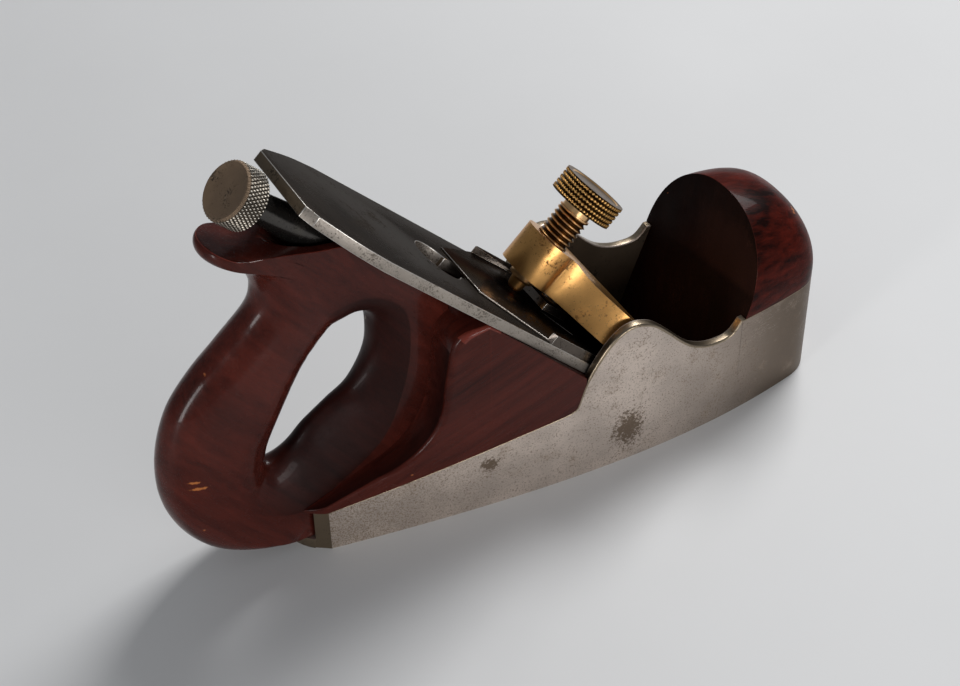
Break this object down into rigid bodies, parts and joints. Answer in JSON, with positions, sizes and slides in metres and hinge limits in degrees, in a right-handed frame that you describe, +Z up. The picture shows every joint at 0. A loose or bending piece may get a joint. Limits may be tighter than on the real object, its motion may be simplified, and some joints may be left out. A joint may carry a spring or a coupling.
{
  "type": "infill smoothing plane",
  "caption": "Infill smoothing plane with a curved dovetailed steel body, rosewood infills, closed handle, gunmetal lever cap and a screw adjuster behind the iron.",
  "frame": {"origin": "on the sole face, on the centre line, level with the heel ends of the two side plates", "axes": "+X towards the toe, +Y towards the left side, +Z up out of the sole"},
  "size_m": [0.2508, 0.0654, 0.1598],
  "materials": {
    "body_steel": "worn bright steel with brown speckle",
    "rosewood": "glossy worn finish over dark red-brown rosewood",
    "iron_steel": "dark aged tool steel with ground edges",
    "cap_steel": "dark polished steel",
    "gunmetal": "cast gunmetal, worn bright with darker skin",
    "brass": "turned brass with tarnish in the grooves",
    "black_steel": "blackened steel, glossy",
    "knob_steel": "knurled steel with a rusty end face",
    "bright_steel": "plain machined steel",
    "screw_steel": "dark screw steel"
  },
  "bodies": {
    "body": {"sole_plate": "body_steel", "side_right": "body_steel", "side_left": "body_steel", "front_infill": "rosewood", "rear_infill": "rosewood", "handle": "rosewood", "adjuster_plate": "bright_steel", "plate_screw_upper": "screw_steel", "plate_screw_lower": "screw_steel", "pivot_stud": "bright_steel", "lever_rod": "body_steel", "sole_screw_1": "screw_steel", "sole_screw_2": "screw_steel", "sole_screw_3": "screw_steel", "sole_screw_4": "screw_steel", "sole_screw_5": "screw_steel"},
    "swing": {"swivel_block": "bright_steel"},
    "adjuster": {"adjuster_barrel": "black_steel", "adjuster_knob": "knob_steel"},
    "iron": {"spindle": "bright_steel", "cup_ring": "bright_steel", "cutting_iron": "iron_steel", "cap_iron": "cap_steel", "cap_iron_screw": "screw_steel"},
    "lever": {"lever_cap": "gunmetal"},
    "foot": {"lever_screw_tip": "brass"},
    "screw": {"lever_screw": "brass", "lever_screw_head": "brass"}
  },
  "joints": [
    {"name": "adjuster_swing", "type": "hinge", "parent": "body", "child": "swing", "pos_m": [0.03161, 0, 0.10275], "axis": [0.7373, 0, 0.6756], "range_deg": [-0.4, 0.4]},
    {"name": "adjuster_turn", "type": "hinge", "parent": "swing", "child": "adjuster", "pos_m": [0.00458, 0, 0.13225], "axis": [0.6756, 0, -0.7373], "range_deg": [-360, 720]},
    {"name": "iron_travel", "type": "slide", "parent": "swing", "child": "iron", "axis": [0.6756, 0, -0.7373], "range_m": [-0.001, 0.002]},
    {"name": "lever_tilt", "type": "hinge", "parent": "body", "child": "lever", "pos_m": [0.11278, 0, 0.0491], "axis": [0, -1, 0], "range_deg": [0, 8]},
    {"name": "foot_travel", "type": "slide", "parent": "lever", "child": "foot", "axis": [0.7373, 0, 0.6756], "range_m": [0, 0.0057]},
    {"name": "lever_screw_turn", "type": "hinge", "parent": "foot", "child": "screw", "pos_m": [0.10868, 0, 0.09444], "axis": [0.7373, 0, 0.6756], "range_deg": [0, 1080]}
  ],
  "couplings": [
    {"joint": "adjuster_turn", "follows": "iron_travel", "rad_per_m": 6283.1},
    {"joint": "lever_screw_turn", "follows": "foot_travel", "rad_per_m": 3306.9},
    {"joint": "lever_tilt", "follows": "foot_travel", "rad_per_m": 24.49}
  ]
}
